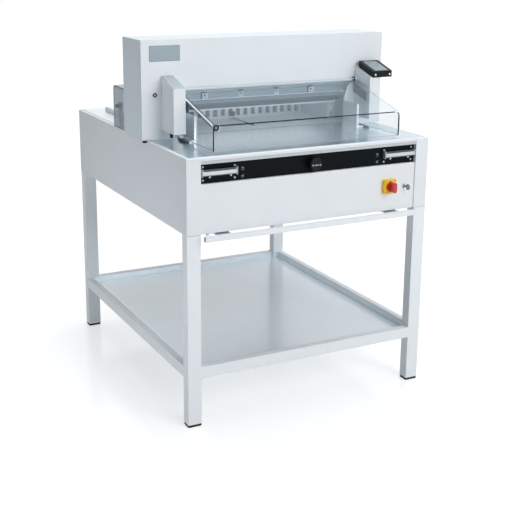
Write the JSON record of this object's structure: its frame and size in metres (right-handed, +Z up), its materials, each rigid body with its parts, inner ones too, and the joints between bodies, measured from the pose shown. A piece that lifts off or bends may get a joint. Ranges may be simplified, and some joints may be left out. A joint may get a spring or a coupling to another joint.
{
  "type": "electric paper cutter",
  "caption": "Floor-standing electric paper cutter with a hinged clear guard, powered knife, clamp and back gauge, two-hand bars, side display and a shelf tray.",
  "frame": {"origin": "middle of the whole machine, on the floor", "axes": "+Z up, -Y towards the operator, X along the knife, +X to the operator's right"},
  "size_m": [0.994, 1.171, 1.3],
  "materials": {
    "frame_paint": "powder coated, fine texture",
    "casing_paint": "powder coated, fine texture",
    "table_steel": "ground and polished",
    "tray_paint": "smooth satin paint",
    "black_plastic": "fine grain",
    "strip_black": "satin black",
    "yellow_plastic": "moulded",
    "red_plastic": "moulded",
    "bar_metal": "brushed and clear anodised",
    "bright_steel": "polished",
    "blade_steel": "ground flat",
    "machine_steel": "machined",
    "cast_bed": "painted grey inside",
    "clamp_metal": "machined",
    "clear_acrylic": "clear polished sheet",
    "foot_rubber": "moulded",
    "stick_plastic": "cut marked",
    "screen_glass": "grey green panel",
    "arm_metal": "dark satin",
    "motor_paint": "grey machine paint"
  },
  "bodies": {
    "machine": {"front_legs": "frame_paint", "rear_legs": "frame_paint", "leg_feet": "foot_rubber", "shelf_rails": "frame_paint", "shelf_tray": "tray_paint", "base_frame": "machine_steel", "machine_bed": "cast_bed", "front_table": "table_steel", "rear_table": "casing_paint", "cutting_stick": "stick_plastic", "side_panel_left": "casing_paint", "side_panel_right": "casing_paint", "rear_panel": "casing_paint", "front_panel": "casing_paint", "control_strip": "strip_black", "table_front_edge": "casing_paint", "hand_bar_ears": "bar_metal", "main_switch_plate": "yellow_plastic", "switch_bodies": "black_plastic", "lock_barrel": "bright_steel", "press_bar_ears": "frame_paint", "portal_cheeks": "machine_steel", "portal_cross_beam": "machine_steel", "knife_gear_motor": "motor_paint", "clamp_motor": "motor_paint", "gauge_motor": "motor_paint", "side_lays": "clamp_metal", "rear_side_lays": "clamp_metal", "portal_front_cover": "casing_paint", "portal_rear_cover": "casing_paint", "portal_shell_cover": "casing_paint", "label_plate": "bar_metal", "guard_columns": "casing_paint", "guard_buffers": "foot_rubber", "display_housing": "black_plastic", "display_screen": "screen_glass", "rear_guard": "clear_acrylic", "rear_guard_brackets": "casing_paint", "cover_screws": "bright_steel", "control_box": "motor_paint"},
    "front_guard": {"front_guard": "clear_acrylic", "guard_arms": "arm_metal", "guard_hinge_rod": "bright_steel"},
    "knife": {"knife_carrier": "clamp_metal", "knife_blade": "blade_steel", "knife_screws": "black_plastic", "knife_pull_rod": "machine_steel"},
    "crank": {"knife_crank": "machine_steel"},
    "clamp": {"clamp_beam": "clamp_metal"},
    "clamp_spindle": {"clamp_spindle": "machine_steel"},
    "gauge": {"back_gauge": "clamp_metal", "gauge_carriage": "black_plastic"},
    "gauge_spindle": {"gauge_spindle": "machine_steel"},
    "hand_bar_left": {"hand_bar_left": "bar_metal"},
    "hand_bar_right": {"hand_bar_right": "bar_metal"},
    "knob": {"adjust_knob": "black_plastic"},
    "switch_handle": {"main_switch_handle": "red_plastic"},
    "key": {"lock_key": "bright_steel"},
    "press_bar": {"press_bar": "frame_paint", "press_bar_shaft": "bright_steel"}
  },
  "joints": [
    {"name": "guard_hinge", "type": "hinge", "parent": "machine", "child": "front_guard", "pos_m": [0, -0.2105, 1.124], "axis": [-1, 0, 0], "range_deg": [0, 75]},
    {"name": "knife_slide", "type": "slide", "parent": "machine", "child": "knife", "axis": [0.2585, 0, -0.966], "range_m": [0, 0.09286]},
    {"name": "crank_turn", "type": "hinge", "parent": "machine", "child": "crank", "pos_m": [0.384, -0.157, 0.812], "axis": [1, 0, 0], "range_deg": [0, 181]},
    {"name": "clamp_slide", "type": "slide", "parent": "machine", "child": "clamp", "axis": [0, 0, -1], "range_m": [0, 0.0806]},
    {"name": "clamp_spindle_turn", "type": "hinge", "parent": "machine", "child": "clamp_spindle", "pos_m": [0, -0.1125, 1.2], "axis": [0, 0, 1], "range_deg": [0, 1455.8]},
    {"name": "gauge_slide", "type": "slide", "parent": "machine", "child": "gauge", "axis": [0, 1, 0], "range_m": [-0.2, 0.3]},
    {"name": "gauge_spindle_turn", "type": "hinge", "parent": "machine", "child": "gauge_spindle", "pos_m": [0, 0.1555, 0.918], "axis": [0, 1, 0], "range_deg": [-3605, 5405]},
    {"name": "hand_bar_left_press", "type": "hinge", "parent": "machine", "child": "hand_bar_left", "pos_m": [-0.351, -0.541, 0.9025], "axis": [-1, 0, 0], "range_deg": [0, 14], "stiffness_Nm_per_rad": 0.8},
    {"name": "hand_bar_right_press", "type": "hinge", "parent": "machine", "child": "hand_bar_right", "pos_m": [0.351, -0.541, 0.9025], "axis": [-1, 0, 0], "range_deg": [0, 14], "stiffness_Nm_per_rad": 0.8},
    {"name": "knob_turn", "type": "hinge", "parent": "machine", "child": "knob", "pos_m": [0, -0.5445, 0.8915], "axis": [0, 1, 0], "range_deg": [-45, 45], "stiffness_Nm_per_rad": 0.2},
    {"name": "main_switch_turn", "type": "hinge", "parent": "machine", "child": "switch_handle", "pos_m": [0.3145, -0.5645, 0.7805], "axis": [0, 1, 0], "range_deg": [0, 90]},
    {"name": "key_turn", "type": "hinge", "parent": "machine", "child": "key", "pos_m": [0.389, -0.5445, 0.772], "axis": [0, 1, 0], "range_deg": [0, 90]},
    {"name": "press_bar_swing", "type": "hinge", "parent": "machine", "child": "press_bar", "pos_m": [0, -0.4705, 0.677], "axis": [1, 0, 0], "range_deg": [0, 10], "stiffness_Nm_per_rad": 20, "springref_deg": -6.88}
  ],
  "couplings": [
    {"joint": "crank_turn", "follows": "knife_slide", "rad_per_m": 33.833},
    {"joint": "clamp_spindle_turn", "follows": "clamp_slide", "rad_per_m": 314.16},
    {"joint": "gauge_spindle_turn", "follows": "gauge_slide", "rad_per_m": 314.16}
  ]
}
